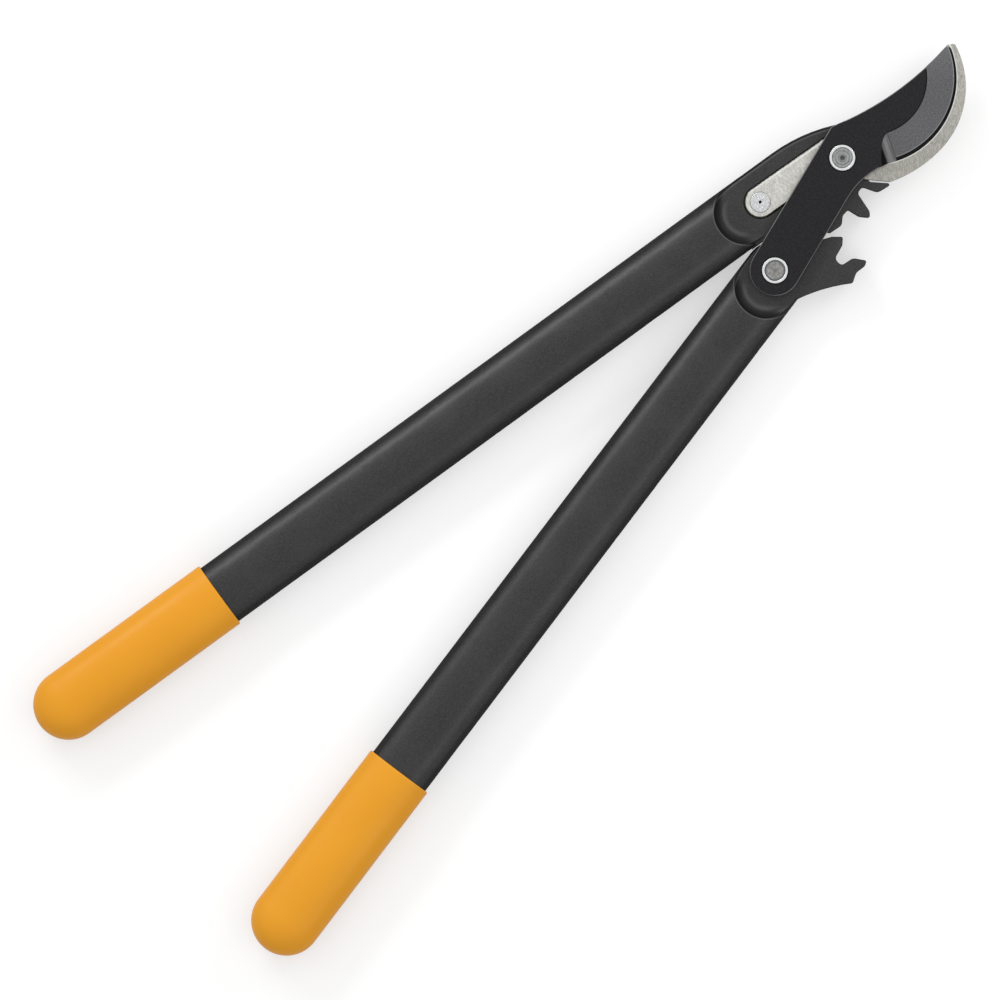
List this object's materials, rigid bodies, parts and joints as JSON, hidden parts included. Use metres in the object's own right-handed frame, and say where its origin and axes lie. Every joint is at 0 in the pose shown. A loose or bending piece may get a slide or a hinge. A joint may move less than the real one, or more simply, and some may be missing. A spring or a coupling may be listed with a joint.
{
  "type": "geared bypass lopper",
  "caption": "Long-handled pruning shears with a black bypass blade over a bright hook, driven by gear sectors in the handle heads, with oval handles and orange grips.",
  "frame": {"origin": "on the main pivot's axis, at the level of the floor that the tool lies on, at the rear face of the main pin's head", "axes": "+X from the main pivot towards the blade's tip along the line that halves the angle between the handles, +Y towards the upper handle, +Z out of the front face, where the blade is"},
  "size_m": [0.6894, 0.2302, 0.0284],
  "materials": {
    "handle_plastic": "fine textured charcoal glass-filled plastic",
    "grip_orange": "semi-matte orange soft-touch",
    "blade_coating": "black non-stick coating with a ground bevel",
    "hook_steel": "fine brushed",
    "pin_steel": "turned face",
    "ring_chrome": "bright",
    "rivet_steel": "bright zinc",
    "washer_steel": "zinc plated",
    "sleeve_steel": "turned",
    "bush_brass": "sintered",
    "slip_washer_plastic": "matte"
  },
  "bodies": {
    "upper_arm": {"upper_handle": "handle_plastic", "upper_grip": "grip_orange", "hook": "hook_steel", "hook_rivet": "rivet_steel", "hook_rivet_washer": "washer_steel", "main_pivot_pin": "pin_steel", "main_pivot_ring": "ring_chrome", "main_pivot_sleeve": "sleeve_steel", "main_pivot_washer": "washer_steel"},
    "cutter": {"blade": "blade_coating", "gear_pivot_pin": "pin_steel", "gear_pivot_ring": "ring_chrome", "gear_pivot_washer": "washer_steel"},
    "lower_arm": {"lower_handle": "handle_plastic", "lower_grip": "grip_orange", "gear_pivot_bush": "bush_brass", "gear_thrust_washer": "slip_washer_plastic"}
  },
  "joints": [
    {"name": "blade_hinge", "type": "hinge", "parent": "upper_arm", "child": "cutter", "pos_m": [0, 0, 0.0142], "axis": [0, 0, 1], "range_deg": [0, 50]},
    {"name": "lower_handle_hinge", "type": "hinge", "parent": "cutter", "child": "lower_arm", "pos_m": [-0.07738, -0.0203, 0.0142], "axis": [0, 0, 1], "range_deg": [0, 43.5]}
  ],
  "couplings": [
    {"joint": "lower_handle_hinge", "follows": "blade_hinge", "ratio": 0.87}
  ]
}
